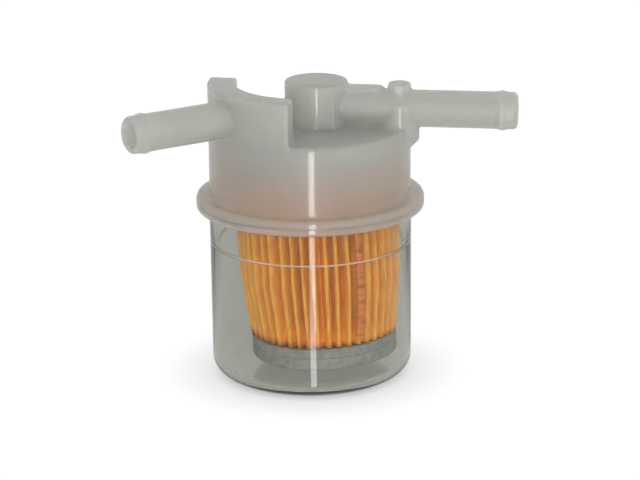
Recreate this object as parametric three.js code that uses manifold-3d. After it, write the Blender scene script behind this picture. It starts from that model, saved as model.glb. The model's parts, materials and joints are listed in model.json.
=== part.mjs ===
// Disposable in-line fuel filter: a milky nylon upper housing with two hose nipples,
// welded by its rim to a clear bowl that holds a pleated paper element.
//
// Frame: millimetres, +Z up, origin at the centre of the bowl's flat underside,
// +X along the outlet nipple. The inlet nipple points INLET_ANGLE round from it.

import * as THREE from 'three';
import { mergeVertices } from 'three/addons/utils/BufferGeometryUtils.js';
import Module from 'manifold-3d';

const wasm = await Module();
wasm.setup();

// ---------------------------------------------------------------- driving dimensions

const GAP = 0.3; // clearance left between neighbouring pieces
const WALL = 1.8; // moulded wall of the upper housing
const BOWL_WALL = 1.6;

const BODY_RADIUS = 22.5; // outer radius of bowl and upper housing
const RIM_RADIUS = 25.5; // welded rim where the two halves meet
const RIM_BOTTOM = 38.4;
const RIM_HEIGHT = 3.5;
const RIM_ROUND = 1.1;
const BOWL_CORNER = 4.2; // rounded lower edge of the bowl
const BOWL_STEP = 30.8; // height where the bowl's inside opens out by a small step
const BOWL_STEP_DEPTH = 0.35;

const DECK_TOP = 57.4; // flat top of the upper housing
const DECK_ROUND = 0.9;
const STANDING_HEIGHT = 10; // boss above the deck

const BOSS_OFFSET = 1.6; // the boss stands this far from the body axis, towards the outlet
const BOSS_RADIUS = 7;
const BOSS_BORE = 5.4;
const SPIGOT_RADIUS = 4.4; // tube under the deck that plugs into the element
const SPIGOT_BORE = 3;
const SPIGOT_END = 49;

const NIPPLE_AXIS_HEIGHT = 61.45;
const NIPPLE_RADIUS = 4.12;
const NIPPLE_BORE = 2.7;
const BEAD_RADIUS = 4.45; // ridge that keeps the hose on
const BEAD_TO_TIP = 3.3;
const OUTLET_REACH = 46.2; // nipple tips, measured from the body axis
const INLET_REACH = 45.6;
const INLET_ANGLE = THREE.MathUtils.degToRad(221);

const CHAMBER_INNER_RADIUS = 16.3; // raised inlet chamber, a sector of the body's ring
const CHAMBER_HALF_ANGLE = THREE.MathUtils.degToRad(45.5);
const CHAMBER_TOP = 67.1;

const COLUMN_OFFSET = 20.15; // support column under the outlet nipple
const COLUMN_RADIUS = 4.4;
const COLUMN_FOOT = 51.5;
const NUB_RADIUS = 2.55;

const PLEATS = 46;
const PAPER_RADIUS = 18.3; // over the pleat tips
const PAPER_FOOT_RADIUS = 16.6; // the pleats are gathered in at the foot
const PAPER_WAIST = 24; // height where the gathering begins
const PLEAT_DEPTH = 6.2;
const PAPER_THICKNESS = 0.45;
const PAPER_BOTTOM = 10.3;
const PAPER_TOP = 50.3;

const ELEMENT_OFFSET = 0.85; // the element hangs off the body axis, towards the outlet
const ELEMENT_LEAN = THREE.MathUtils.degToRad(2.6);
const ELEMENT_PIVOT = 53; // height of the outlet seal, which the element leans about

const POTTING_HEIGHT = 2.2;
const LOWER_CAP_HEIGHT = 2.4;
const UPPER_CAP_HEIGHT = 1.5;
const UPPER_CAP_RADIUS = 18.7;
const LOWER_CAP_RADIUS = 16.4;
const UPPER_CAP_HOLE = 7.7;
const CENTRE_TUBE_RADIUS = 7.4;
const CENTRE_TUBE_WALL = 1.2;

const ROUND_SEGMENTS = 56;
const FINE_SEGMENTS = 32;

const rimTop = RIM_BOTTOM + RIM_HEIGHT;
const weldHeight = RIM_BOTTOM + RIM_HEIGHT / 2;
const bossTop = DECK_TOP + STANDING_HEIGHT;

// ---------------------------------------------------------------- materials

function plastic(name, color, roughness, opacity = 1) {
  return new THREE.MeshStandardMaterial({
    name,
    color,
    roughness,
    metalness: 0,
    opacity,
    transparent: opacity < 1,
  });
}

const milkyNylon = plastic('milky nylon', 0xc4c6bb, 0.32, 0.85);
const clearNylon = plastic('clear nylon', 0xd8dad4, 0.12, 0.35);
const filterPaper = plastic('resin-treated filter paper', 0xe08a24, 0.85);
const seamGlue = plastic('seam glue', 0xb8562a, 0.7);
const greyPlastisol = plastic('grey plastisol', 0x7d8078, 0.8);
const capPlastic = plastic('end cap plastic', 0x888b84, 0.6);
const supportPlastic = plastic('support tube plastic', 0xd9d6c8, 0.5);
const sealRubber = plastic('seal rubber', 0x2a2a2a, 0.7);

// ---------------------------------------------------------------- solids

function signedVolume(positions, triangles) {
  const a = new THREE.Vector3();
  const b = new THREE.Vector3();
  const c = new THREE.Vector3();
  let total = 0;
  for (let i = 0; i < triangles.length; i += 3) {
    a.fromArray(positions, triangles[i] * 3);
    b.fromArray(positions, triangles[i + 1] * 3);
    c.fromArray(positions, triangles[i + 2] * 3);
    total += a.dot(b.cross(c)) / 6;
  }
  return total;
}

// A closed three.js geometry as a manifold solid, turned so that its faces point out.
function solid(geometry) {
  const bare = geometry.index ? geometry.toNonIndexed() : geometry.clone();
  bare.deleteAttribute('normal');
  bare.deleteAttribute('uv');
  const merged = mergeVertices(bare, 1e-4);
  const vertProperties = new Float32Array(merged.attributes.position.array);
  const kept = [];
  const index = merged.index.array;
  for (let i = 0; i < index.length; i += 3) {
    const [p, q, r] = [index[i], index[i + 1], index[i + 2]];
    if (p !== q && q !== r && r !== p) {
      kept.push(p, q, r);
    }
  }
  const triVerts = new Uint32Array(kept);
  if (signedVolume(vertProperties, triVerts) < 0) {
    triVerts.reverse();
  }
  return new wasm.Manifold(new wasm.Mesh({ numProp: 3, vertProperties, triVerts }));
}

function toGeometry(manifold) {
  const { vertProperties, triVerts, numProp } = manifold.getMesh();
  const positions = new Float32Array((vertProperties.length / numProp) * 3);
  for (let i = 0; i < positions.length / 3; i += 1) {
    positions.set(vertProperties.subarray(i * numProp, i * numProp + 3), i * 3);
  }
  const geometry = new THREE.BufferGeometry();
  geometry.setAttribute('position', new THREE.BufferAttribute(positions, 3));
  geometry.setIndex(new THREE.BufferAttribute(new Uint32Array(triVerts), 1));
  geometry.computeVertexNormals();
  return geometry;
}

function union(first, ...others) {
  return others.reduce((sum, other) => sum.add(other), first);
}

function cut(body, ...tools) {
  return tools.reduce((rest, tool) => rest.subtract(tool), body);
}

// A solid of revolution about +Z from [radius, height] points.
function revolve(profile, segments = ROUND_SEGMENTS) {
  const points = profile.map(([radius, height]) => new THREE.Vector2(radius, height));
  return new THREE.LatheGeometry(points, segments).rotateX(Math.PI / 2);
}

// Points of a quarter turn about [radius, height], from one compass angle to another.
function corner(radius, height, round, fromDegrees, toDegrees, steps = 4) {
  return Array.from({ length: steps + 1 }, (_, i) => {
    const angle = THREE.MathUtils.degToRad(fromDegrees + ((toDegrees - fromDegrees) * i) / steps);
    return [radius + round * Math.cos(angle), height + round * Math.sin(angle)];
  });
}

function cylinder(radius, bottom, top, segments = FINE_SEGMENTS) {
  return revolve([[0, bottom], [radius, bottom], [radius, top], [0, top]], segments);
}

function ring(innerRadius, outerRadius, bottom, top, segments = ROUND_SEGMENTS) {
  const profile = [[innerRadius, bottom], [outerRadius, bottom], [outerRadius, top], [innerRadius, top]];
  return revolve([...profile, profile[0]], segments);
}

// Turns a shape made along +Z so that it lies level at the nipple height, pointing round by angle.
function layAlong(geometry, angle) {
  return geometry
    .rotateY(Math.PI / 2)
    .rotateZ(angle)
    .translate(0, 0, NIPPLE_AXIS_HEIGHT);
}

// A flat plan shape raised between two heights, with its edges eased by a small bevel.
function raise(shape, bottom, top, ease = 0, curveSegments = 24) {
  const options = {
    depth: top - bottom - 2 * ease,
    bevelEnabled: ease > 0,
    bevelThickness: ease,
    bevelSize: ease,
    bevelOffset: -ease,
    bevelSegments: 2,
    curveSegments,
  };
  return new THREE.ExtrudeGeometry(shape, options).translate(0, 0, bottom + ease);
}

// Plan outline of a ring sector that is centred on the inlet direction.
function sectorShape(innerRadius, outerRadius, halfAngle) {
  const shape = new THREE.Shape();
  shape.absarc(0, 0, outerRadius, INLET_ANGLE - halfAngle, INLET_ANGLE + halfAngle, false);
  shape.absarc(0, 0, innerRadius, INLET_ANGLE + halfAngle, INLET_ANGLE - halfAngle, true);
  shape.closePath();
  return shape;
}

function named(name, geometry, material) {
  const mesh = new THREE.Mesh(geometry, material);
  mesh.name = name;
  return mesh;
}

// ---------------------------------------------------------------- upper housing

// Outside of the drum: half of the welded rim, the wall and the rounded deck edge.
function drumOutside() {
  return revolve([
    [0, weldHeight + GAP / 2],
    [RIM_RADIUS, weldHeight + GAP / 2],
    ...corner(RIM_RADIUS - RIM_ROUND, rimTop - RIM_ROUND, RIM_ROUND, 0, 90),
    [BODY_RADIUS, rimTop],
    ...corner(BODY_RADIUS - DECK_ROUND, DECK_TOP - DECK_ROUND, DECK_ROUND, 0, 90),
    [0, DECK_TOP],
  ]);
}

// Space under the deck that the element reaches up into.
function drumInside() {
  return cylinder(BODY_RADIUS - WALL, RIM_BOTTOM, DECK_TOP - WALL, ROUND_SEGMENTS);
}

function boss() {
  const ease = 0.4;
  const profile = [
    [0, DECK_TOP - WALL],
    [BOSS_RADIUS, DECK_TOP - WALL],
    ...corner(BOSS_RADIUS - ease, bossTop - ease, ease, 0, 90, 2),
    [0, bossTop],
  ];
  return revolve(profile, FINE_SEGMENTS + 8).translate(BOSS_OFFSET, 0, 0);
}

// Thin upright ridge on the boss, between the outlet and the open side of the deck.
function bossRidge() {
  const width = 0.8;
  const stand = 0.5;
  const height = STANDING_HEIGHT - 4;
  return new THREE.BoxGeometry(2 * stand, width, height + WALL / 2)
    .translate(BOSS_RADIUS, 0, DECK_TOP + height / 2 - WALL / 4)
    .rotateZ(THREE.MathUtils.degToRad(-51))
    .translate(BOSS_OFFSET, 0, 0);
}

// Hose nipple along +Z with its retaining bead and rounded tip, before it is laid level.
function nippleOutside(reach) {
  const tipRound = 0.8;
  const beadHalf = 1.4;
  const bead = reach - BEAD_TO_TIP;
  return revolve([
    [0, 0],
    [NIPPLE_RADIUS, 0],
    [NIPPLE_RADIUS, bead - beadHalf],
    [BEAD_RADIUS, bead],
    [NIPPLE_RADIUS + 0.1, bead + beadHalf],
    ...corner(NIPPLE_RADIUS - tipRound, reach - tipRound, tipRound, 0, 90, 3),
    [0, reach],
  ], FINE_SEGMENTS);
}

function outletNipple() {
  return layAlong(nippleOutside(OUTLET_REACH - BOSS_OFFSET), 0).translate(BOSS_OFFSET, 0, 0);
}

function inletNipple() {
  const root = CHAMBER_INNER_RADIUS + WALL;
  return layAlong(nippleOutside(INLET_REACH - root).translate(0, 0, root), INLET_ANGLE);
}

function outletBore() {
  return layAlong(cylinder(NIPPLE_BORE, BOSS_OFFSET, OUTLET_REACH + 1), 0);
}

function inletBore() {
  const start = (CHAMBER_INNER_RADIUS + BODY_RADIUS) / 2;
  return layAlong(cylinder(NIPPLE_BORE, start, INLET_REACH + 1), INLET_ANGLE);
}

function chamberOutside() {
  const shape = sectorShape(CHAMBER_INNER_RADIUS, BODY_RADIUS, CHAMBER_HALF_ANGLE);
  return raise(shape, DECK_TOP - WALL, CHAMBER_TOP, 0.5);
}

// Hollow of the inlet chamber, open downwards through the deck.
function chamberInside() {
  const sideWall = WALL / CHAMBER_INNER_RADIUS;
  const shape = sectorShape(CHAMBER_INNER_RADIUS + WALL, BODY_RADIUS - WALL, CHAMBER_HALF_ANGLE - sideWall);
  return raise(shape, DECK_TOP - 2 * WALL, CHAMBER_TOP - WALL);
}

// Column beside the drum that carries the outlet nipple, with a sloping foot and a nub on top.
function supportColumn() {
  const slope = COLUMN_RADIUS - 1.5;
  const nubTop = bossTop - 0.2;
  const ease = 0.3;
  const profile = [
    [0, COLUMN_FOOT],
    [COLUMN_RADIUS - slope, COLUMN_FOOT],
    [COLUMN_RADIUS, COLUMN_FOOT + slope],
    [COLUMN_RADIUS, NIPPLE_AXIS_HEIGHT + 1],
    [NUB_RADIUS, NIPPLE_AXIS_HEIGHT + NIPPLE_RADIUS - 0.6],
    ...corner(NUB_RADIUS - ease, nubTop - ease, ease, 0, 90, 2),
    [0, nubTop],
  ];
  return revolve(profile, FINE_SEGMENTS).translate(COLUMN_OFFSET, 0, 0);
}

// Low pad along the top of the outlet nipple, between the boss and the nub.
function nipplePad() {
  const start = BOSS_OFFSET + BOSS_RADIUS;
  const end = COLUMN_OFFSET - NUB_RADIUS - 0.8;
  const halfWidth = 2;
  const shape = new THREE.Shape();
  shape.moveTo(start - 1, -halfWidth);
  shape.lineTo(end - halfWidth, -halfWidth);
  shape.absarc(end - halfWidth, 0, halfWidth, -Math.PI / 2, Math.PI / 2, false);
  shape.lineTo(start - 1, halfWidth);
  shape.closePath();
  return raise(shape, NIPPLE_AXIS_HEIGHT, NIPPLE_AXIS_HEIGHT + NIPPLE_RADIUS + 0.7, 0, 6);
}

function riserBore() {
  const chamber = cylinder(BOSS_BORE, DECK_TOP, bossTop - WALL);
  const throat = cylinder(SPIGOT_BORE, SPIGOT_END - 1, DECK_TOP + 1);
  return union(solid(chamber), solid(throat)).translate([BOSS_OFFSET, 0, 0]);
}

function upperHousing() {
  const drum = cut(solid(drumOutside()), solid(drumInside()));
  const spigot = cylinder(SPIGOT_RADIUS, SPIGOT_END, DECK_TOP).translate(BOSS_OFFSET, 0, 0);
  const column = cut(solid(supportColumn()), solid(drumInside()));
  const body = union(
    drum,
    solid(chamberOutside()),
    solid(boss()),
    solid(bossRidge()),
    solid(spigot),
    column,
    solid(outletNipple()),
    solid(inletNipple()),
    solid(nipplePad()),
  );
  const hollow = cut(body, solid(chamberInside()), solid(inletBore()), solid(outletBore()), riserBore());
  return named('upper_housing', toGeometry(hollow), milkyNylon);
}

// ---------------------------------------------------------------- lower bowl

function lowerBowl() {
  const inside = BODY_RADIUS - BOWL_WALL;
  const innerCorner = BOWL_CORNER - BOWL_WALL;
  const profile = [
    [0, 0],
    ...corner(BODY_RADIUS - BOWL_CORNER, BOWL_CORNER, BOWL_CORNER, -90, 0, 5),
    [BODY_RADIUS + 0.1, RIM_BOTTOM],
    ...corner(RIM_RADIUS - RIM_ROUND, RIM_BOTTOM + RIM_ROUND, RIM_ROUND, -90, 0),
    [RIM_RADIUS, weldHeight - GAP / 2],
    [inside + BOWL_STEP_DEPTH, weldHeight - GAP / 2],
    [inside + BOWL_STEP_DEPTH, BOWL_STEP + BOWL_STEP_DEPTH],
    [inside, BOWL_STEP],
    ...corner(inside - innerCorner, BOWL_WALL + innerCorner, innerCorner, 0, -90, 4),
    [0, BOWL_WALL],
  ];
  return named('lower_bowl', toGeometry(solid(revolve(profile))), clearNylon);
}

// ---------------------------------------------------------------- filter element

function paperRadius(height) {
  const up = (height - PAPER_BOTTOM) / (PAPER_WAIST - PAPER_BOTTOM);
  return THREE.MathUtils.lerp(PAPER_FOOT_RADIUS, PAPER_RADIUS, Math.min(up, 1));
}

// Draws a shape's sides in towards the axis below the waist, as the gathered pleats are.
function gather(geometry) {
  const position = geometry.attributes.position;
  for (let i = 0; i < position.count; i += 1) {
    const scale = paperRadius(position.getZ(i)) / PAPER_RADIUS;
    position.setX(i, position.getX(i) * scale);
    position.setY(i, position.getY(i) * scale);
  }
  return geometry;
}

// Zigzag plan line of the pleats, its tips and valleys moved out or in by shift.
function pleatLine(path, shift) {
  for (let i = 0; i <= 2 * PLEATS; i += 1) {
    const angle = (i * Math.PI) / PLEATS;
    const radius = (i % 2 === 0 ? PAPER_RADIUS : PAPER_RADIUS - PLEAT_DEPTH) + shift;
    const [x, y] = [radius * Math.cos(angle), radius * Math.sin(angle)];
    if (i === 0) {
      path.moveTo(x, y);
    } else {
      path.lineTo(x, y);
    }
  }
  return path;
}

function pleatedPaper() {
  // The folds are steep, so a sheet this thick is several times as deep along the radius.
  const foldHalfPitch = (PAPER_RADIUS - PLEAT_DEPTH / 2) * (Math.PI / PLEATS);
  const radialThickness = (PAPER_THICKNESS * Math.hypot(PLEAT_DEPTH, foldHalfPitch)) / foldHalfPitch;
  const shape = pleatLine(new THREE.Shape(), 0);
  shape.holes.push(pleatLine(new THREE.Path(), -radialThickness));
  const options = { depth: PAPER_TOP - PAPER_BOTTOM, bevelEnabled: false, steps: 3 };
  const tube = new THREE.ExtrudeGeometry(shape, options).translate(0, 0, PAPER_BOTTOM);
  return named('filter_paper', toGeometry(solid(gather(tube))), filterPaper);
}

// Strip of glue that closes the paper along one pleat.
function paperSeam() {
  const width = 1.6;
  const thickness = 0.5;
  const end = 1;
  const depth = PAPER_TOP - PAPER_BOTTOM - 2 * end;
  const strip = new THREE.BoxGeometry(thickness, width, depth, 1, 1, 3)
    .translate(PAPER_RADIUS + GAP + thickness / 2, 0, PAPER_BOTTOM + end + depth / 2)
    .rotateZ(THREE.MathUtils.degToRad(-54));
  return named('paper_seam', toGeometry(solid(gather(strip))), seamGlue);
}

function centreTube() {
  const rows = 4;
  const windowsPerRow = 6;
  const windowWidth = 3;
  const height = PAPER_TOP - PAPER_BOTTOM;
  const pitch = height / rows;
  const wall = ring(CENTRE_TUBE_RADIUS - CENTRE_TUBE_WALL, CENTRE_TUBE_RADIUS, PAPER_BOTTOM, PAPER_TOP, 36);
  let tube = solid(wall);
  for (let row = 0; row < rows; row += 1) {
    for (let i = 0; i < windowsPerRow / 2; i += 1) {
      const opening = new THREE.BoxGeometry(3 * CENTRE_TUBE_RADIUS, windowWidth, pitch - 3)
        .rotateZ(((i + (row % 2) / 2) * 2 * Math.PI) / windowsPerRow)
        .translate(0, 0, PAPER_BOTTOM + (row + 0.5) * pitch);
      tube = cut(tube, solid(opening));
    }
  }
  return named('centre_tube', toGeometry(tube), supportPlastic);
}

function upperPotting() {
  const bottom = PAPER_TOP + GAP;
  const disc = ring(UPPER_CAP_HOLE, PAPER_RADIUS, bottom, bottom + POTTING_HEIGHT / 2);
  return named('upper_potting', toGeometry(solid(disc)), greyPlastisol);
}

function upperEndCap() {
  const bottom = PAPER_TOP + POTTING_HEIGHT / 2 + 2 * GAP;
  const disc = ring(UPPER_CAP_HOLE, UPPER_CAP_RADIUS, bottom, bottom + UPPER_CAP_HEIGHT);
  return named('upper_end_cap', toGeometry(solid(disc)), capPlastic);
}

function lowerPotting() {
  const top = PAPER_BOTTOM - GAP;
  const disc = cylinder(LOWER_CAP_RADIUS - 0.1, top - POTTING_HEIGHT, top, ROUND_SEGMENTS);
  return named('lower_potting', toGeometry(solid(disc)), greyPlastisol);
}

function lowerEndCap() {
  const top = PAPER_BOTTOM - POTTING_HEIGHT - 2 * GAP;
  const ease = 0.4;
  const bottom = top - LOWER_CAP_HEIGHT;
  const disc = revolve([
    [0, bottom],
    ...corner(LOWER_CAP_RADIUS - ease, bottom + ease, ease, -90, 0, 2),
    [LOWER_CAP_RADIUS, top],
    [0, top],
  ]);
  return named('lower_end_cap', toGeometry(solid(disc)), capPlastic);
}

function element() {
  const hanging = new THREE.Group();
  hanging.add(pleatedPaper(), paperSeam(), centreTube());
  hanging.add(upperPotting(), upperEndCap(), lowerPotting(), lowerEndCap());
  hanging.position.z = -ELEMENT_PIVOT;
  const leaning = new THREE.Group();
  leaning.position.set(ELEMENT_OFFSET, 0, ELEMENT_PIVOT);
  leaning.rotation.y = -ELEMENT_LEAN;
  leaning.add(hanging);
  return leaning;
}

// Rubber grommet between the spigot and the hole in the upper end cap.
function outletSeal() {
  const lipBottom = ELEMENT_PIVOT + 1.2;
  const neckRadius = UPPER_CAP_HOLE - 1.1;
  const profile = [
    [SPIGOT_RADIUS + GAP, PAPER_TOP + 1],
    [neckRadius, PAPER_TOP + 1],
    [neckRadius, lipBottom],
    [UPPER_CAP_HOLE + 0.8, lipBottom],
    [UPPER_CAP_HOLE + 0.8, lipBottom + 1],
    [SPIGOT_RADIUS + GAP, lipBottom + 1],
  ];
  const grommet = revolve([...profile, profile[0]], FINE_SEGMENTS).translate(BOSS_OFFSET, 0, 0);
  return named('outlet_seal', toGeometry(solid(grommet)), sealRubber);
}

// ---------------------------------------------------------------- assembly

const filter = new THREE.Group();
filter.add(upperHousing(), lowerBowl(), element(), outletSeal());

export default filter;
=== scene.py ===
"""Disposable in-line fuel filter: milky nylon housing, clear bowl and pleated paper element."""

import json
import math
import random

import bmesh
import bpy
import numpy as np
from mathutils import Matrix, Vector


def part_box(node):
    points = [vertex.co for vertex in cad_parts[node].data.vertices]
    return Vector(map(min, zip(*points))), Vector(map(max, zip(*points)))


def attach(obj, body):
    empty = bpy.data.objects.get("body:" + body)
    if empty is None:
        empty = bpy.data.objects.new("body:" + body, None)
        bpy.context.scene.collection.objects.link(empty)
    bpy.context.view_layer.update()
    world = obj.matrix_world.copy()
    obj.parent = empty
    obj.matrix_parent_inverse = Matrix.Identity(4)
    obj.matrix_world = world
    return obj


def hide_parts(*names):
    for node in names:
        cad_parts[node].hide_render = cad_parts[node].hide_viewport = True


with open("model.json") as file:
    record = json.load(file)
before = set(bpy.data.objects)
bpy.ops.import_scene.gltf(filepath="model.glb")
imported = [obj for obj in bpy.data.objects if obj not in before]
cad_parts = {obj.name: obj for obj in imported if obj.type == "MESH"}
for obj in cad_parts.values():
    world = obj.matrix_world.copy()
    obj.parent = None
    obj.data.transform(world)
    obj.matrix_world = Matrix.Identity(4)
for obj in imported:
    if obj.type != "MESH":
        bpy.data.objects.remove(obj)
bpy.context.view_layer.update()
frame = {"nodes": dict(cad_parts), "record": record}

MM = 0.001
mounts = {m["name"]: m for m in frame["record"]["mounts"]}
_, bowl_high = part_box("lower_bowl")

# ---------------------------------------------------------------- sizes, in metres, angles and counts

GAP = 0.3 * MM
WALL = 1.8 * MM
BOWL_WALL = 1.6 * MM
BODY_RADIUS = 22.5 * MM
RIM_RADIUS = bowl_high.x
RIM_BOTTOM = mounts["rim_underside"]["pos_m"][2]
RIM_ROUND = 1.1 * MM
WELD_HEIGHT = bowl_high.z + GAP / 2
RIM_TOP = 2 * WELD_HEIGHT - RIM_BOTTOM
BOWL_CORNER = 4.2 * MM
BOWL_STEP = 30.8 * MM  # height of the fine step round the inside of the bowl
BOWL_STEP_DEPTH = 0.35 * MM

BOSS_CENTRE, _, BOSS_TOP = mounts["boss_top"]["pos_m"]
BOSS_RADIUS = 7 * MM
BOSS_BORE = 5.4 * MM
DECK_TOP = BOSS_TOP - 10 * MM
DECK_ROUND = 0.9 * MM
SPIGOT_RADIUS = 4.4 * MM
SPIGOT_BORE = 3 * MM
SPIGOT_END = 49 * MM

NIPPLE_RADIUS = 4.12 * MM
NIPPLE_HEIGHT = DECK_TOP + NIPPLE_RADIUS - 0.07 * MM
NIPPLE_BORE = 2.7 * MM
BEAD_RADIUS = 4.45 * MM
BEAD_TO_TIP = 3.3 * MM
OUTLET_REACH = mounts["outlet_tip"]["pos_m"][0]
INLET_REACH = math.hypot(*mounts["inlet_tip"]["pos_m"][:2])
INLET_ANGLE = math.atan2(mounts["inlet_tip"]["axis"][1], mounts["inlet_tip"]["axis"][0])

CHAMBER_INNER = 16.3 * MM
CHAMBER_HALF_ANGLE = math.radians(45.5)
CHAMBER_TOP = BOSS_TOP - 0.3 * MM

COLUMN_CENTRE = 20.15 * MM
COLUMN_RADIUS = 4.4 * MM
COLUMN_FOOT = 51.5 * MM
NUB_RADIUS = 2.55 * MM

PLEATS = 46
PAPER_RADIUS = 18.3 * MM
PAPER_FOOT_RADIUS = 16.6 * MM
PAPER_BOTTOM = 10.3 * MM
PAPER_TOP = 50.3 * MM
PAPER_WAIST = 24 * MM
PLEAT_DEPTH = 4.8 * MM
PRESSED_FOOT = 9 * MM  # the pleats are pressed flatter up to about this far above their foot
PRESSED_SHARE = 0.35  # and keep this share of their depth right at the foot
OVERLAP_PLEAT = 40  # the wide pleat beside the glued seam
SEAM_ANGLE = math.radians(-54)
LOWER_CAP_RADIUS = 16.4 * MM
ELEMENT_OFFSET = 0.85 * MM
ELEMENT_LEAN = math.radians(2.6)
ELEMENT_PIVOT = 53 * MM

FLOOR_LEVEL = -0.02 * MM
FLOOR_RADIUS = 3

# nearly all the values of a noise lie between these
NOISE_LOW, NOISE_HIGH = 0.3, 0.7

# ---------------------------------------------------------------- mesh helpers


def new_object(name, vertices, faces):
    """A smooth-shaded mesh in the scene."""
    mesh = bpy.data.meshes.new(name)
    mesh.from_pydata([tuple(v) for v in vertices], [], faces)
    mesh.validate()
    mesh.polygons.foreach_set("use_smooth", [True] * len(mesh.polygons))
    thing = bpy.data.objects.new(name, mesh)
    bpy.context.scene.collection.objects.link(thing)
    return thing


def tidy_mesh(thing):
    """Merges doubled points and turns every face outwards."""
    same_place = 0.001 * MM
    work = bmesh.new()
    work.from_mesh(thing.data)
    bmesh.ops.remove_doubles(work, verts=work.verts, dist=same_place)
    bmesh.ops.recalc_face_normals(work, faces=work.faces)
    work.to_mesh(thing.data)
    work.free()
    return thing


def arc(radius, height, size, start, end, steps=8):
    """Points of an arc about (radius, height), between angles in degrees: 0 is outwards, 90 is up."""
    turns = np.radians(np.linspace(start, end, steps + 1))
    return [(radius + size * math.cos(t), height + size * math.sin(t)) for t in turns]


def lathe(name, profile, segments=160):
    """A surface of revolution about +Z: a solid where the profile starts and ends on the axis."""
    count = len(profile)
    turns = np.linspace(0, 2 * math.pi, segments, endpoint=False)
    vertices = [(r * math.cos(t), r * math.sin(t), z) for t in turns for r, z in profile]
    faces = []
    for i in range(segments):
        j = (i + 1) % segments
        for k in range(count - 1):
            faces.append((i * count + k, j * count + k, j * count + k + 1, i * count + k + 1))
    return tidy_mesh(new_object(name, vertices, faces))


def prism(name, outline, bottom, top):
    """A plan outline raised between two heights."""
    count = len(outline)
    vertices = [(x, y, z) for z in (bottom, top) for x, y in outline]
    faces = [tuple(range(count)), tuple(range(count, 2 * count))]
    faces += [(i, (i + 1) % count, (i + 1) % count + count, i + count) for i in range(count)]
    return tidy_mesh(new_object(name, vertices, faces))


def rod(name, radius, bottom, top, segments=96):
    """A plain cylinder about +Z."""
    return lathe(name, [(0, bottom), (radius, bottom), (radius, top), (0, top)], segments)


def place(thing, matrix):
    """Moves the mesh itself, so that the object stays at the origin."""
    thing.data.transform(matrix)
    return thing


def lay_along(thing, angle, start=0.0):
    """Turns a piece made along +Z so that it lies level at the nipple height, pointing round by angle."""
    turn = Matrix.Rotation(angle, 4, "Z") @ Matrix.Rotation(math.pi / 2, 4, "Y")
    return place(thing, Matrix.Translation((start, 0, NIPPLE_HEIGHT)) @ turn)


def combine(body, others, operation):
    """Adds the other solids to body or cuts them from it, then removes them."""
    for other in others:
        step = body.modifiers.new(operation, "BOOLEAN")
        step.operation = operation
        step.solver = "MANIFOLD"
        step.object = other
    apply_modifiers(body)
    for other in others:
        bpy.data.objects.remove(other)
    return body


def apply_modifiers(thing):
    """Makes what the modifiers do part of the mesh."""
    evaluated = thing.evaluated_get(bpy.context.evaluated_depsgraph_get())
    thing.modifiers.clear()
    thing.data = bpy.data.meshes.new_from_object(evaluated)
    return thing


def mould(thing, voxel, passes):
    """Remakes a solid with the small soft fillets that a moulding has at every edge."""
    remesh = thing.modifiers.new("voxels", "REMESH")
    remesh.mode = "VOXEL"
    remesh.voxel_size = voxel
    remesh.use_smooth_shade = True
    soften = thing.modifiers.new("fillets", "SMOOTH")
    soften.factor = 0.5
    soften.iterations = passes
    return apply_modifiers(thing)


# ---------------------------------------------------------------- node helpers


def new_material(name):
    """A material with an empty node tree."""
    material = bpy.data.materials.new(name)
    material.use_nodes = True
    material.node_tree.nodes.clear()
    return material


def add(owner, kind, inputs=None, **settings):
    """Adds a node to a material or world. An input is a value, or an output to be linked to it."""
    node = owner.node_tree.nodes.new(kind)
    for key, value in settings.items():
        setattr(node, key, value)
    for key, value in (inputs or {}).items():
        if isinstance(value, bpy.types.NodeSocket):
            owner.node_tree.links.new(value, node.inputs[key])
        else:
            node.inputs[key].default_value = value
    return node


def noise(material, scale, detail=3, roughness=0.55, stretch=(1, 1, 1)):
    """Noise in the part's own frame: scale is how many lumps there are to a metre."""
    place_at = add(material, "ShaderNodeTexCoord").outputs["Object"]
    mapped = add(material, "ShaderNodeMapping", {"Vector": place_at, "Scale": stretch})
    inputs = {"Vector": mapped.outputs[0], "Scale": scale, "Detail": detail, "Roughness": roughness}
    return add(material, "ShaderNodeTexNoise", inputs).outputs["Fac"]


def ramp(material, value, stops):
    """A colour ramp with stops of (position, (r, g, b))."""
    node = add(material, "ShaderNodeValToRGB", {"Fac": value})
    points = node.color_ramp.elements
    while len(points) < len(stops):
        points.new(0.5)
    for point, (position, colour) in zip(points, stops):
        point.position = position
        point.color = (*colour, 1)
    return node.outputs["Color"]


def stretch_range(owner, value, low, high, to_low=0.0, to_high=1.0):
    """Maps low to high onto to_low to to_high, and goes no further at either end."""
    inputs = {"Value": value, "From Min": low, "From Max": high, "To Min": to_low, "To Max": to_high}
    return add(owner, "ShaderNodeMapRange", inputs).outputs["Result"]


def by_noise(material, lumps, to_low, to_high):
    """A value that goes up and down between two limits as a noise does."""
    return stretch_range(material, lumps, NOISE_LOW, NOISE_HIGH, to_low, to_high)


def multiply(material, first, second):
    """One colour multiplied by another, as when a tint lies over a colour."""
    factor, colour_a, colour_b, result = 0, 6, 7, 2
    inputs = {factor: 1.0, colour_a: first, colour_b: second}
    node = add(material, "ShaderNodeMix", inputs, data_type="RGBA", blend_type="MULTIPLY")
    return node.outputs[result]


def bump(material, height, distance, strength=1.0):
    inputs = {"Height": height, "Distance": distance, "Strength": strength}
    return add(material, "ShaderNodeBump", inputs).outputs["Normal"]


def height_of(material):
    """Height above the base, in metres."""
    place_at = add(material, "ShaderNodeTexCoord").outputs["Object"]
    return add(material, "ShaderNodeSeparateXYZ", {"Vector": place_at}).outputs["Z"]


def output(material, shader):
    add(material, "ShaderNodeOutputMaterial", {"Surface": shader})
    return material


# ---------------------------------------------------------------- materials


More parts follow.
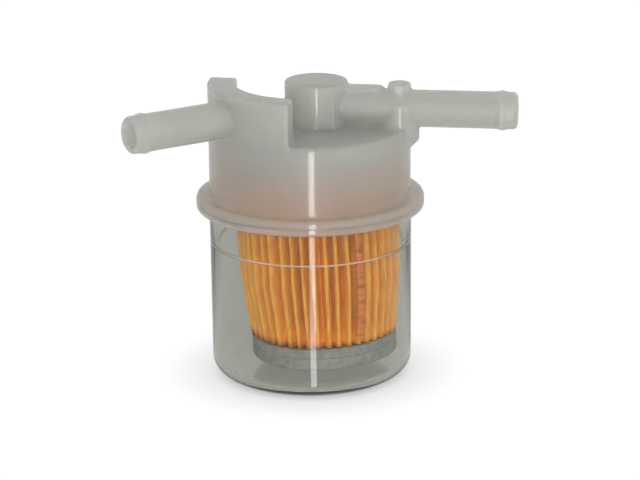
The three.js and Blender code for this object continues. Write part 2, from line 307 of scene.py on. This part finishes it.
def milky_nylon():
    """Uncoloured nylon, cloudy and glossy.

    Two colours by height are painted light, in place of light passing through the walls: a painted warm
    glow on the drum, from the paper inside it, and painted shade that makes the top faces greyer, because
    they have hollows below them.
    """
    material = new_material("milky nylon")
    clouds = noise(material, 90, detail=4)
    cloudy = ramp(material, clouds, [
        (NOISE_LOW, (0.82, 0.825, 0.775)),
        (NOISE_HIGH, (0.89, 0.89, 0.845)),
    ])
    up_drum = stretch_range(material, height_of(material), RIM_BOTTOM, DECK_TOP)
    # painted glow: a warm tint low on the drum stands in for light from the paper shining through the
    # wall
    painted_glow = ramp(material, up_drum, [
        (0.0, (1.0, 0.96, 0.91)),
        (0.28, (0.90, 0.70, 0.61)),
        (0.85, (0.88, 0.88, 0.87)),
    ])
    # painted shade: the top faces are greyed, over the hollows below them
    grey_from, grey_to = BOSS_TOP - 0.7 * MM, BOSS_TOP - 0.2 * MM
    near_top = stretch_range(material, height_of(material), grey_from, grey_to)
    painted_top_shade = ramp(material, near_top, [(0.0, (1, 1, 1)), (1.0, (0.80, 0.80, 0.78))])
    with_painted_glow = multiply(material, cloudy, painted_glow)
    grain = noise(material, 1400, detail=2)
    waves = noise(material, 160, detail=1)
    skin = bump(material, grain, 0.01 * MM, 0.5)
    flow = add(material, "ShaderNodeBump", {
        "Height": waves, "Distance": 0.12 * MM, "Strength": 0.5, "Normal": skin,
    }).outputs["Normal"]
    shader = add(material, "ShaderNodeBsdfPrincipled", {
        "Base Color": multiply(material, with_painted_glow, painted_top_shade),
        "Roughness": by_noise(material, clouds, 0.42, 0.55),
        "IOR": 1.53,
        "Normal": flow,
        "Alpha": 0.78,
        "Transmission Weight": 0.45,
        "Subsurface Weight": 1.0,
        "Subsurface Radius": (1.0, 0.95, 0.8),
        "Subsurface Scale": 5 * MM,
        "Coat Weight": 1.0,
        "Coat Roughness": 0.07,
    })
    return output(material, shader.outputs[0])


def clear_nylon():
    """The bowl's clear plastic, which lets lamps through to the paper."""
    material = new_material("clear nylon")
    haze = noise(material, 60, detail=3)
    flow = noise(material, 110, detail=1, stretch=(1, 1, 0.3))
    glass = add(material, "ShaderNodeBsdfPrincipled", {
        "Base Color": (0.93, 0.94, 0.905, 1),
        "Roughness": by_noise(material, haze, 0.02, 0.06),
        "IOR": 1.42,
        "Transmission Weight": 1.0,
        "Normal": bump(material, flow, 0.1 * MM, 0.35),
    })
    for_lamps = add(material, "ShaderNodeBsdfTransparent", {"Color": (0.95, 0.955, 0.94, 1)})
    ray = add(material, "ShaderNodeLightPath")
    shader = add(material, "ShaderNodeMixShader", {
        0: ray.outputs["Is Shadow Ray"], 1: glass.outputs[0], 2: for_lamps.outputs[0],
    })
    return output(material, shader.outputs[0])


def filter_paper():
    """Orange resin-treated paper: painted light in the folds (bright valleys, duller ridges), random
    blotches, fibres and painted shade at the foot.
    """
    material = new_material("filter paper")
    fold = add(material, "ShaderNodeAttribute", attribute_name="fold").outputs["Fac"]
    fibres = noise(material, 900, detail=4, stretch=(1, 1, 0.35))
    blotches = noise(material, 220, detail=2)
    blotch_share = 0.22
    blotch_shift = add(material, "ShaderNodeMath", {0: blotches, 1: blotch_share}, operation="MULTIPLY")
    level = add(material, "ShaderNodeMath", {0: fold, 1: blotch_shift.outputs[0]}, operation="ADD")
    # painted light: valleys get a brighter colour in place of light bounced among the folds, ridges a
    # duller one; blotches shift the ramp at random
    folds = ramp(material, level.outputs[0], [
        (0.10, (1.0, 0.37, 0.018)),
        (0.60, (0.98, 0.32, 0.016)),
        (0.90, (0.70, 0.285, 0.020)),
        (1.0, (0.66, 0.31, 0.028)),
    ])
    speckle = ramp(material, fibres, [(0.35, (0.80, 0.74, 0.70)), (0.6, (1, 1, 1))])
    # painted shade: the paper is darker at its foot, where the pleats meet the potting
    up = stretch_range(material, height_of(material), PAPER_BOTTOM - MM, PAPER_BOTTOM + 1.5 * MM)
    painted_foot_shade = ramp(material, up, [(0.3, (0.34, 0.26, 0.22)), (1.0, (1, 1, 1))])
    dry = multiply(material, folds, speckle)
    shader = add(material, "ShaderNodeBsdfPrincipled", {
        "Base Color": multiply(material, dry, painted_foot_shade),
        "Roughness": by_noise(material, fibres, 0.7, 0.9),
        "Normal": bump(material, fibres, 0.06 * MM, 0.8),
        "Subsurface Weight": 0.7,
        "Subsurface Radius": (1.0, 0.5, 0.12),
        "Subsurface Scale": 2.5 * MM,
    })
    return output(material, shader.outputs[0])


def seam_glue():
    """Red-brown glue with short dark creases across the strip."""
    material = new_material("seam glue")
    creases = noise(material, 500, detail=2, stretch=(0.5, 0.5, 2.4))
    shader = add(material, "ShaderNodeBsdfPrincipled", {
        "Base Color": ramp(material, creases, [
            (0.36, (0.30, 0.080, 0.016)),
            (0.46, (0.50, 0.145, 0.018)),
            (0.70, (0.60, 0.190, 0.020)),
        ]),
        "Roughness": by_noise(material, creases, 0.5, 0.8),
        "Normal": bump(material, creases, 0.1 * MM, 0.8),
        "Subsurface Weight": 0.4,
        "Subsurface Scale": 1 * MM,
    })
    return output(material, shader.outputs[0])


def grey_felt(name, dark, light):
    """Mottled grey of the cured potting and the end caps."""
    material = new_material(name)
    mottle = noise(material, 700, detail=5, roughness=0.7)
    shader = add(material, "ShaderNodeBsdfPrincipled", {
        "Base Color": ramp(material, mottle, [(0.35, dark), (0.65, light)]),
        "Roughness": by_noise(material, mottle, 0.65, 0.85),
        "Normal": bump(material, mottle, 0.08 * MM, 0.7),
    })
    return output(material, shader.outputs[0])


def plain_plastic(name, dark, light, roughness):
    """A moulded or rubber piece: slight colour drift and a fine moulded skin."""
    material = new_material(name)
    drift = noise(material, 150, detail=3)
    grain = noise(material, 2000, detail=2)
    unevenness = 0.06
    shader = add(material, "ShaderNodeBsdfPrincipled", {
        "Base Color": ramp(material, drift, [(NOISE_LOW, dark), (NOISE_HIGH, light)]),
        "Roughness": by_noise(material, grain, roughness - unevenness, roughness + unevenness),
        "Normal": bump(material, grain, 0.015 * MM, 0.6),
    })
    return output(material, shader.outputs[0])


# ---------------------------------------------------------------- upper housing


def drum():
    """The drum with its half of the rim, which is too deep here and is trimmed at the weld later."""
    return lathe("drum", [
        (0, RIM_BOTTOM),
        (RIM_RADIUS, RIM_BOTTOM),
        *arc(RIM_RADIUS - RIM_ROUND, RIM_TOP - RIM_ROUND, RIM_ROUND, 0, 90),
        (BODY_RADIUS, RIM_TOP),
        *arc(BODY_RADIUS - DECK_ROUND, DECK_TOP - DECK_ROUND, DECK_ROUND, 0, 90),
        (0, DECK_TOP),
    ])


def trim_level(thing, height):
    """Cuts away what is below a height and closes the ring-shaped cut with a flat face."""
    work = bmesh.new()
    work.from_mesh(thing.data)
    everything = [*work.verts, *work.edges, *work.faces]
    bmesh.ops.bisect_plane(
        work, geom=everything, plane_co=(0, 0, height), plane_no=(0, 0, 1), clear_inner=True
    )
    rims = [edge for edge in work.edges if edge.is_boundary]
    ring = bmesh.ops.bridge_loops(work, edges=rims)
    for face in ring["faces"]:
        face.smooth = False
    bmesh.ops.recalc_face_normals(work, faces=work.faces)
    work.to_mesh(thing.data)
    work.free()


def sector(name, inner, outer, half_angle, bottom, top):
    """A ring sector centred on the inlet direction."""
    points = 49
    turns = np.linspace(INLET_ANGLE - half_angle, INLET_ANGLE + half_angle, points)
    outline = [(outer * math.cos(t), outer * math.sin(t)) for t in turns]
    outline += [(inner * math.cos(t), inner * math.sin(t)) for t in turns[::-1]]
    return prism(name, outline, bottom, top)


def boss():
    """The round tower over the outlet, with an eased top edge."""
    ease = 0.4 * MM
    thing = lathe("boss", [
        (0, DECK_TOP - WALL),
        (BOSS_RADIUS, DECK_TOP - WALL),
        *arc(BOSS_RADIUS - ease, BOSS_TOP - ease, ease, 0, 90, 3),
        (0, BOSS_TOP),
    ])
    return place(thing, Matrix.Translation((BOSS_CENTRE, 0, 0)))


def boss_ridge():
    """Thin upright ridge on the boss, between the outlet and the open side of the deck."""
    width, stand, height = 0.8 * MM, 0.5 * MM, 6 * MM
    round_from_outlet = math.radians(-51)
    outline = [(-stand, -width / 2), (stand, -width / 2), (stand, width / 2), (-stand, width / 2)]
    thing = prism("ridge", outline, DECK_TOP - WALL / 2, DECK_TOP + height)
    turn = Matrix.Rotation(round_from_outlet, 4, "Z") @ Matrix.Translation((BOSS_RADIUS, 0, 0))
    return place(thing, Matrix.Translation((BOSS_CENTRE, 0, 0)) @ turn)


def nipple(name, reach):
    """Hose nipple along +Z with its retaining bead and rounded tip."""
    tip_round, bead_half = 0.8 * MM, 1.4 * MM
    bead = reach - BEAD_TO_TIP
    bead_height = BEAD_RADIUS - NIPPLE_RADIUS
    quarter_turn = math.pi / 2
    swell = [
        (NIPPLE_RADIUS + bead_height * math.cos(t) ** 2, bead + bead_half * t / quarter_turn)
        for t in np.linspace(-quarter_turn, quarter_turn, 13)
    ]
    return lathe(name, [
        (0, 0),
        (NIPPLE_RADIUS, 0),
        *swell,
        *arc(NIPPLE_RADIUS - tip_round, reach - tip_round, tip_round, 0, 90, 6),
        (0, reach),
    ], segments=96)


def support_column():
    """Column under the outlet nipple, with a sloping foot and a nub on top."""
    foot_radius, ease = 1.5 * MM, 0.3 * MM
    slope = COLUMN_RADIUS - foot_radius
    shoulder = NIPPLE_HEIGHT + 1 * MM
    nub_foot = NIPPLE_HEIGHT + NIPPLE_RADIUS - 0.6 * MM
    nub_top = BOSS_TOP - 0.2 * MM
    thing = lathe("column", [
        (0, COLUMN_FOOT),
        (foot_radius, COLUMN_FOOT),
        (COLUMN_RADIUS, COLUMN_FOOT + slope),
        (COLUMN_RADIUS, shoulder),
        (NUB_RADIUS, nub_foot),
        *arc(NUB_RADIUS - ease, nub_top - ease, ease, 0, 90, 3),
        (0, nub_top),
    ], segments=96)
    return place(thing, Matrix.Translation((COLUMN_CENTRE, 0, 0)))


def nipple_pad():
    """Low pad along the top of the outlet nipple, between the boss and the nub."""
    half_width, height = 2 * MM, 0.7 * MM
    depth_in_boss, gap_to_nub = 1 * MM, 0.8 * MM
    start = BOSS_CENTRE + BOSS_RADIUS - depth_in_boss
    end = COLUMN_CENTRE - NUB_RADIUS - gap_to_nub - half_width
    outline = [(start, half_width), (start, -half_width)]
    outline += arc(end, 0, half_width, -90, 90, 12)
    return prism("pad", outline, NIPPLE_HEIGHT, NIPPLE_HEIGHT + NIPPLE_RADIUS + height)


def drum_hollow():
    """The inside of the drum, as a solid to cut with."""
    return rod("drum hollow", BODY_RADIUS - WALL, RIM_BOTTOM - MM, DECK_TOP - WALL, segments=160)


def upper_housing():
    """One moulding: the drum, joined by all that is moulded onto it, with its hollows cut out."""
    shift = Matrix.Translation((BOSS_CENTRE, 0, 0))
    wall_angle = WALL / CHAMBER_INNER
    inlet_root = CHAMBER_INNER + WALL
    chamber_middle = (CHAMBER_INNER + BODY_RADIUS) / 2
    body = combine(drum(), [drum_hollow()], "DIFFERENCE")
    column = combine(support_column(), [drum_hollow()], "DIFFERENCE")
    inlet = place(nipple("inlet", INLET_REACH - inlet_root), Matrix.Translation((0, 0, inlet_root)))
    combine(body, [
        sector("chamber", CHAMBER_INNER, BODY_RADIUS, CHAMBER_HALF_ANGLE, DECK_TOP - WALL, CHAMBER_TOP),
        boss(),
        boss_ridge(),
        place(rod("spigot", SPIGOT_RADIUS, SPIGOT_END, DECK_TOP), shift),
        column,
        lay_along(nipple("outlet", OUTLET_REACH - BOSS_CENTRE), 0, BOSS_CENTRE),
        lay_along(inlet, INLET_ANGLE),
        nipple_pad(),
    ], "UNION")
    combine(body, [
        sector("chamber hollow", inlet_root, BODY_RADIUS - WALL, CHAMBER_HALF_ANGLE - wall_angle,
               DECK_TOP - 2 * WALL, CHAMBER_TOP - WALL),
        lay_along(rod("inlet bore", NIPPLE_BORE, chamber_middle, INLET_REACH + MM), INLET_ANGLE),
        lay_along(rod("outlet bore", NIPPLE_BORE, BOSS_CENTRE, OUTLET_REACH + MM), 0),
        place(rod("riser", BOSS_BORE, DECK_TOP, BOSS_TOP - WALL), shift),
        place(rod("throat", SPIGOT_BORE, SPIGOT_END - MM, DECK_TOP + MM), shift),
    ], "DIFFERENCE")
    body.name = "housing"
    mould(body, voxel=0.3 * MM, passes=6)
    trim_level(body, WELD_HEIGHT)
    body.data.materials.clear()
    body.data.materials.append(NYLON)
    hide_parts("upper_housing")
    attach(body, "root")


# ---------------------------------------------------------------- bowl


def lower_bowl():
    """The clear cup with its half of the rim and a fine step round the inside of its wall."""
    inside = BODY_RADIUS - BOWL_WALL
    inner_corner = BOWL_CORNER - BOWL_WALL
    step = inside + BOWL_STEP_DEPTH
    step_slope = 0.25 * MM
    flare, flare_height = 0.4 * MM, 0.3 * MM
    clear_of_housing = 0.02 * MM
    weld = WELD_HEIGHT - clear_of_housing
    eased_step = [
        (inside + BOWL_STEP_DEPTH * (1 + math.sin(t)) / 2, BOWL_STEP + step_slope * t)
        for t in np.linspace(math.pi / 2, -math.pi / 2, 9)
    ]
    bowl = lathe("bowl", [
        (0, 0),
        *arc(BODY_RADIUS - BOWL_CORNER, BOWL_CORNER, BOWL_CORNER, -90, 0, 16),
        (BODY_RADIUS + flare / 4, RIM_BOTTOM - flare_height),
        (BODY_RADIUS + flare, RIM_BOTTOM),
        *arc(RIM_RADIUS - RIM_ROUND, RIM_BOTTOM + RIM_ROUND, RIM_ROUND, -90, 0),
        (RIM_RADIUS, weld),
        (step, weld),
        *eased_step,
        *arc(inside - inner_corner, BOWL_WALL + inner_corner, inner_corner, 0, -90, 12),
        (0, BOWL_WALL),
    ], segments=192)
    bowl.data.materials.append(CLEAR)
    bowl.data.materials.append(NYLON)
    for face in bowl.data.polygons:
        face.material_index = 1 if milky_rim_or_painted_highlight(face.center) else 0
    shade_by_angle(bowl, degrees=35)
    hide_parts("lower_bowl")
    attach(bowl, "root")


def milky_rim_or_painted_highlight(point):
    """True on the rim, which scatters light as the housing does, and along the middle of the step, where
    a thin milky band is a painted highlight line.
    """
    margin = 0.1 * MM
    radius = math.hypot(point.x, point.y)
    in_rim = point.z > RIM_BOTTOM - margin and radius > BODY_RADIUS + margin
    # painted highlight: a thin band of the milky material along the step stands in for the light line it
    # catches
    painted_step_highlight = abs(point.z - BOWL_STEP) < 2 * margin and radius < BODY_RADIUS - margin
    return in_rim or painted_step_highlight


def shade_by_angle(thing, degrees):
    """Smooth shading that stops at edges sharper than this."""
    work = bmesh.new()
    work.from_mesh(thing.data)
    for edge in work.edges:
        edge.smooth = len(edge.link_faces) != 2 or edge.calc_face_angle(0) < math.radians(degrees)
    work.to_mesh(thing.data)
    work.free()


# ---------------------------------------------------------------- filter element

ELEMENT_PLACE = (
    Matrix.Translation((ELEMENT_OFFSET, 0, ELEMENT_PIVOT))
    @ Matrix.Rotation(-ELEMENT_LEAN, 4, "Y")
    @ Matrix.Translation((0, 0, -ELEMENT_PIVOT))
)


def gathering(height):
    """How far the pleats are drawn in at a height, as a share of their full radius."""
    up = min((height - PAPER_BOTTOM) / (PAPER_WAIST - PAPER_BOTTOM), 1)
    return (PAPER_FOOT_RADIUS + (PAPER_RADIUS - PAPER_FOOT_RADIUS) * up) / PAPER_RADIUS


def between(values, pleat, phase):
    """Runs straight from a pleat's own value to the next pleat's."""
    return values[pleat] * (1 - phase) + values[(pleat + 1) % PLEATS] * phase


def fold_at(pleat, phase):
    """1 on a ridge and 0 in the valley between two ridges. The overlapping pleat's ridge is wider."""
    nearest = pleat if phase < 0.5 else (pleat + 1) % PLEATS
    ridge_width = 1.8 if nearest == OVERLAP_PLEAT else 1.35
    ridge_curve = 1.1
    return min(1, abs(2 * phase - 1) * ridge_width) ** ridge_curve


def skin_faces(columns, rows):
    """Faces of a tube with an outer and an inner skin that are joined at both ends."""
    faces = []
    skin = (rows + 1) * columns
    last = rows * columns
    for row in range(rows):
        for column in range(columns):
            a = row * columns + column
            b = row * columns + (column + 1) % columns
            faces.append((a, b, b + columns, a + columns))
            faces.append((skin + a + columns, skin + b + columns, skin + b, skin + a))
    for column in range(columns):
        a, b = column, (column + 1) % columns
        faces.append((skin + a, skin + b, b, a))
        faces.append((last + a, last + b, skin + last + b, skin + last + a))
    return faces


def pleated_paper():
    """The folded sheet: rounded ridges, each pleat a little out of place and leaning its own way."""
    sheet = 1.9 * MM
    seed = 4
    chance = random.Random(seed)
    steps_round, steps_up = 14, 40
    columns = PLEATS * steps_round
    most_shift, most_lean = 0.16, 0.05  # in pleats, the lean from foot to top
    furthest_in, furthest_out = 0.15 * MM, 0.12 * MM
    shifts = [chance.uniform(-most_shift, most_shift) for _ in range(PLEATS)]
    leans = [chance.uniform(-most_lean, most_lean) for _ in range(PLEATS)]
    reaches = [chance.uniform(-furthest_in, furthest_out) for _ in range(PLEATS)]
    outer, inner, folds = [], [], []
    for row in range(steps_up + 1):
        share = row / steps_up
        height = PAPER_BOTTOM + (PAPER_TOP - PAPER_BOTTOM) * share
        depth = PLEAT_DEPTH * min(1, PRESSED_SHARE + (height - PAPER_BOTTOM) / PRESSED_FOOT)
        for column in range(columns):
            pleat, along = divmod(column, steps_round)
            phase = along / steps_round
            lean = between(leans, pleat, phase) * (share - 0.5)
            angle = (pleat + phase + between(shifts, pleat, phase) + lean) * 2 * math.pi / PLEATS
            fold = fold_at(pleat, phase)
            ridge = PAPER_RADIUS + between(reaches, pleat, phase)
            radius = (ridge - depth * (1 - fold)) * gathering(height)
            outer.append((radius * math.cos(angle), radius * math.sin(angle), height))
            behind = radius - sheet
            inner.append((behind * math.cos(angle), behind * math.sin(angle), height))
            folds.append(fold)
    paper = new_object("pleats", outer + inner, skin_faces(columns, steps_up))
    level = paper.data.attributes.new("fold", "FLOAT", "POINT")
    level.data.foreach_set("value", folds + folds)
    place(paper, ELEMENT_PLACE)
    paper.data.materials.append(filter_paper())
    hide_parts("filter_paper")
    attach(paper, "root")


def glue_seam():
    """Strip of glue up the outside of the pleats, domed and slightly uneven in width."""
    half_width, thickness, stand, end = 0.95 * MM, 0.5 * MM, 0.3 * MM, 1 * MM
    ripple, ripple_step = 0.08, 2.9  # share of the width, and radians from one row to the next
    drift, drift_step = 0.06, 0.7
    steps_up, steps_across = 90, 10
    count = steps_across + 1
    vertices = []
    for row in range(steps_up + 1):
        height = PAPER_BOTTOM + end + (PAPER_TOP - PAPER_BOTTOM - 2 * end) * row / steps_up
        unevenness = ripple * math.sin(ripple_step * row) + drift * math.sin(drift_step * row)
        width = half_width * (1 + unevenness)
        domed = [(thickness * math.sin(t), -width * math.cos(t)) for t in np.linspace(0, math.pi, count)]
        for rise, across in domed:
            radius = (PAPER_RADIUS + stand) * gathering(height) + rise
            vertices.append((radius, across, height))
    faces = [tuple(range(count)), tuple(range(steps_up * count, (steps_up + 1) * count))]
    for row in range(steps_up):
        this, above = row * count, (row + 1) * count
        for i in range(count):
            n = (i + 1) % count
            faces.append((this + i, this + n, above + n, above + i))
    seam = tidy_mesh(new_object("glue_seam", vertices, faces))
    place(seam, ELEMENT_PLACE @ Matrix.Rotation(SEAM_ANGLE, 4, "Z"))
    seam.data.materials.append(seam_glue())
    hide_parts("paper_seam")
    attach(seam, "root")


def end_band():
    """Potting and closed end cap at the foot of the paper, with a fine groove between them."""
    top = PAPER_BOTTOM - GAP
    split = PAPER_BOTTOM - 2.5 * MM
    bottom = PAPER_BOTTOM - 5.2 * MM
    ease, groove = 0.5 * MM, 0.04 * MM
    felt = grey_felt("grey plastisol", (0.16, 0.165, 0.153), (0.26, 0.267, 0.25))
    potting = lathe("foot_potting", [
        (0, split + groove),
        (LOWER_CAP_RADIUS - groove, split + groove),
        *arc(LOWER_CAP_RADIUS - ease, top - ease, ease, 0, 90, 5),
        (0, top),
    ])
    cap = lathe("foot_cap", [
        (0, bottom),
        *arc(LOWER_CAP_RADIUS - ease, bottom + ease, ease, -90, 0, 5),
        (LOWER_CAP_RADIUS, split),
        (0, split),
    ])
    for thing, node, slot_name in (
        (potting, "lower_potting", "grey_plastisol"),
        (cap, "lower_end_cap", "end_cap"),
    ):
        shade_by_angle(thing, degrees=40)
        place(thing, ELEMENT_PLACE)
        thing.data.materials.append(felt)
        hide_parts(node)
        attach(thing, "root")


def hidden_pieces():
    """The four inner pieces keep their CAD shape and get materials of their own."""
    support = plain_plastic("support plastic", (0.58, 0.56, 0.49), (0.70, 0.68, 0.60), 0.45)
    cap = grey_felt("end cap grey", (0.19, 0.20, 0.18), (0.33, 0.34, 0.31))
    rubber = plain_plastic("seal rubber", (0.012, 0.012, 0.012), (0.03, 0.03, 0.03), 0.55)
    for node, material in (
        ("centre_tube", support),
        ("upper_potting", cap),
        ("upper_end_cap", cap),
        ("outlet_seal", rubber),
    ):
        mesh = frame["nodes"][node].data
        mesh.materials.clear()
        mesh.materials.append(material)


# ---------------------------------------------------------------- stage, lights and camera


def floor():
    """White sweep with a painted contact shadow close to the object, dim where light bounces off it, and
    a faint painted glow seen through clear parts.
    """
    thing = lathe("floor", [(0, FLOOR_LEVEL), (FLOOR_RADIUS, FLOOR_LEVEL)], segments=64)
    material = new_material("studio floor")
    # painted contact shadow: ambient occlusion dims the floor's own light close to the object
    reach_of_shade = 18 * MM
    under_object, open_floor = 0.48, 1.01
    out_in_the_open = 0.93
    near = add(material, "ShaderNodeAmbientOcclusion", {"Distance": reach_of_shade}, samples=24)
    shade = stretch_range(material, near.outputs["AO"], 0.0, out_in_the_open, under_object, open_floor)
    seen = add(material, "ShaderNodeEmission", {"Color": (1, 1, 1, 1), "Strength": shade})
    bounce = add(material, "ShaderNodeBsdfDiffuse", {"Color": (0.30, 0.30, 0.29, 1)})
    # painted glow, seen only by rays that pass through transparent parts, lightens the bowl's bottom
    painted_glow = add(material, "ShaderNodeEmission", {"Color": (1, 1, 0.97, 1), "Strength": 0.19})
    through = add(material, "ShaderNodeAddShader", {0: bounce.outputs[0], 1: painted_glow.outputs[0]})
    ray = add(material, "ShaderNodeLightPath")
    unseen = add(material, "ShaderNodeMixShader", {
        0: ray.outputs["Is Transmission Ray"], 1: bounce.outputs[0], 2: through.outputs[0],
    })
    shader = add(material, "ShaderNodeMixShader", {
        0: ray.outputs["Is Camera Ray"], 1: unseen.outputs[0], 2: seen.outputs[0],
    })
    thing.data.materials.append(output(material, shader.outputs[0]))
    thing.visible_glossy = False
    thing.visible_shadow = False


def surroundings():
    """White behind the object, and a light grey all round it that is darker overhead."""
    world = bpy.data.worlds.new("studio")
    bpy.context.scene.world = world
    world.use_nodes = True
    world.node_tree.nodes.clear()
    at_horizon, overhead = 0.66, 0.48
    direction = add(world, "ShaderNodeTexCoord").outputs["Generated"]
    up = add(world, "ShaderNodeSeparateXYZ", {"Vector": direction}).outputs["Z"]
    strength = stretch_range(world, up, 0.0, 1.0, at_horizon, overhead)
    around = add(world, "ShaderNodeBackground", {"Color": (1, 1, 0.98, 1), "Strength": strength})
    seen = add(world, "ShaderNodeBackground", {"Color": (1, 1, 1, 1), "Strength": 1.0})
    ray = add(world, "ShaderNodeLightPath")
    join = add(world, "ShaderNodeMixShader", {
        0: ray.outputs["Is Camera Ray"], 1: around.outputs[0], 2: seen.outputs[0],
    })
    add(world, "ShaderNodeOutputWorld", {"Surface": join.outputs[0]})


def area_light(name, azimuth, elevation, width, height, power, mirrored):
    """A soft box that looks at the middle of the object. Shiny surfaces show it if it is mirrored."""
    distance = 0.9
    target = Vector((0, 0, BOSS_TOP / 2))
    a, e = math.radians(azimuth), math.radians(elevation)
    back = Vector((math.sin(a) * math.cos(e), -math.cos(a) * math.cos(e), math.sin(e)))
    data = bpy.data.lights.new(name, "AREA")
    data.shape = "RECTANGLE"
    data.size = width
    data.size_y = height
    data.energy = power
    lamp = bpy.data.objects.new(name, data)
    lamp.location = target + back * distance
    lamp.visible_glossy = mirrored
    lamp.rotation_mode = "QUATERNION"
    lamp.rotation_quaternion = (-back).to_track_quat("-Z", "Y")
    bpy.context.scene.collection.objects.link(lamp)


def lights():
    """A tall strip, which draws the long highlights, and a broad fill from the outlet's side."""
    area_light("strip", 10, -5, width=0.10, height=1.6, power=4.6, mirrored=True)
    area_light("side fill", 74, 28, width=0.8, height=0.8, power=1.2, mirrored=False)


def camera():
    """At the photo's angle, fitted to its outline: in front, a little to the outlet side and above."""
    data = bpy.data.cameras.new("camera")
    data.sensor_width = 36
    data.lens = 150.46
    tilt, roll, azimuth = math.radians(17), math.radians(0.62), math.radians(8.34)
    side, ahead, up = 2.084 * MM, -575.7 * MM, 206.25 * MM
    right = Vector((1, 0, 0))
    upward = Vector((0, math.sin(tilt), math.cos(tilt)))
    back = Vector((0, -math.cos(tilt), math.sin(tilt)))
    local_x = math.cos(roll) * right - math.sin(roll) * upward
    local_y = math.sin(roll) * right + math.cos(roll) * upward
    turned = Matrix((local_x, local_y, back)).transposed().to_4x4()
    seen_from = Matrix.Translation((side, ahead, up)) @ turned
    thing = bpy.data.objects.new("camera", data)
    thing.matrix_world = Matrix.Rotation(azimuth, 4, "Z") @ seen_from
    bpy.context.scene.collection.objects.link(thing)
    bpy.context.scene.camera = thing


NYLON = milky_nylon()
CLEAR = clear_nylon()

camera()
surroundings()
lights()
floor()
upper_housing()
lower_bowl()
pleated_paper()
glue_seam()
end_band()
hidden_pieces()
bpy.context.scene.view_settings.view_transform = "Standard"
